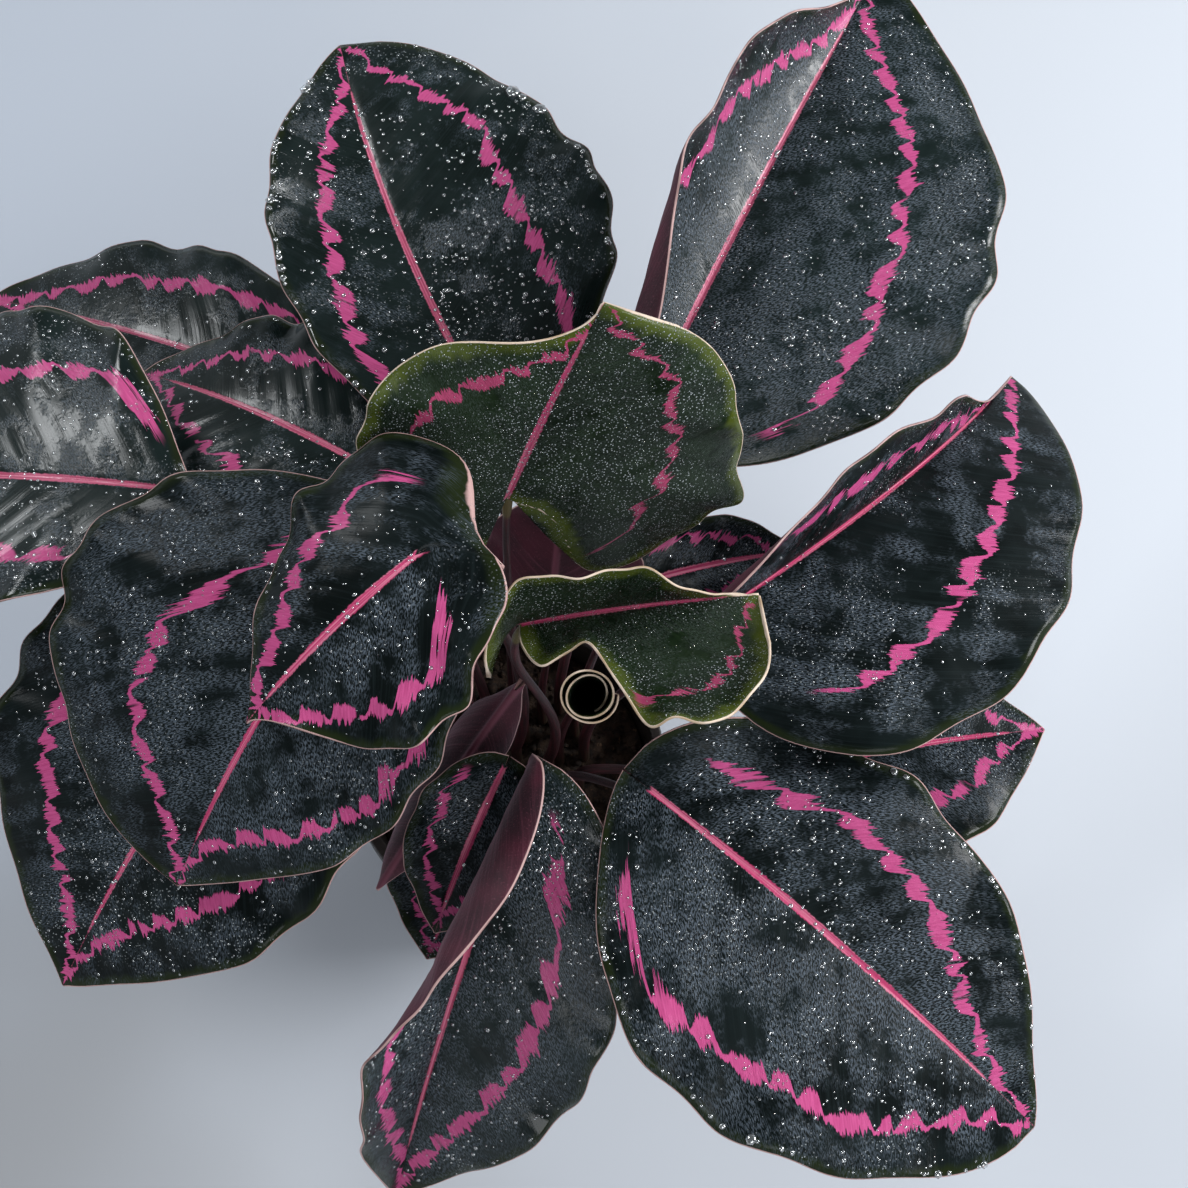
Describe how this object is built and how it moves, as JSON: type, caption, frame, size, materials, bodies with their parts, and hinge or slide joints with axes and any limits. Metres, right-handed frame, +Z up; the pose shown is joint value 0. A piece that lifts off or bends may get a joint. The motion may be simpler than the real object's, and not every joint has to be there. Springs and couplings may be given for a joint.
{
  "type": "potted dottie calathea",
  "caption": "Foliage plant with broad, rounded, near-black leaves marked by a pink ring and midrib, standing on slim petioles in a plain round plastic pot with soil.",
  "frame": {"origin": "centre of the underside of the pot, on the surface that the pot stands on", "axes": "+Z up along the pot's axis, -Y towards the viewer's side of the plant, +X to the viewer's right"},
  "size_m": [0.4574, 0.4243, 0.3126],
  "materials": {
    "pot_plastic": "satin dark brown",
    "soil": "damp, rough",
    "mature_leaf": "soft sheen, near-black green with a pink ring and midrib, burgundy below",
    "young_leaf": "soft sheen, green with a rose ring and midrib, burgundy below"
  },
  "bodies": {
    "root": {"pot": "pot_plastic", "soil": "soil", "leaf_back_left": "mature_leaf", "leaf_back_right": "mature_leaf", "leaf_right": "mature_leaf", "leaf_right_low": "mature_leaf", "leaf_front_right": "mature_leaf", "leaf_front": "mature_leaf", "leaf_left_top": "mature_leaf", "leaf_left_middle": "mature_leaf", "leaf_left_low": "mature_leaf", "leaf_far_left": "mature_leaf", "leaf_far_left_low": "mature_leaf", "leaf_left_back": "mature_leaf", "leaf_young_centre": "young_leaf", "leaf_young_right": "young_leaf", "leaf_small_front": "mature_leaf", "leaf_small_front_low": "mature_leaf", "leaf_half_rolled": "mature_leaf", "leaf_upright_back": "mature_leaf", "leaf_small_back": "mature_leaf", "leaf_rolled": "young_leaf"}
  },
  "joints": []
}
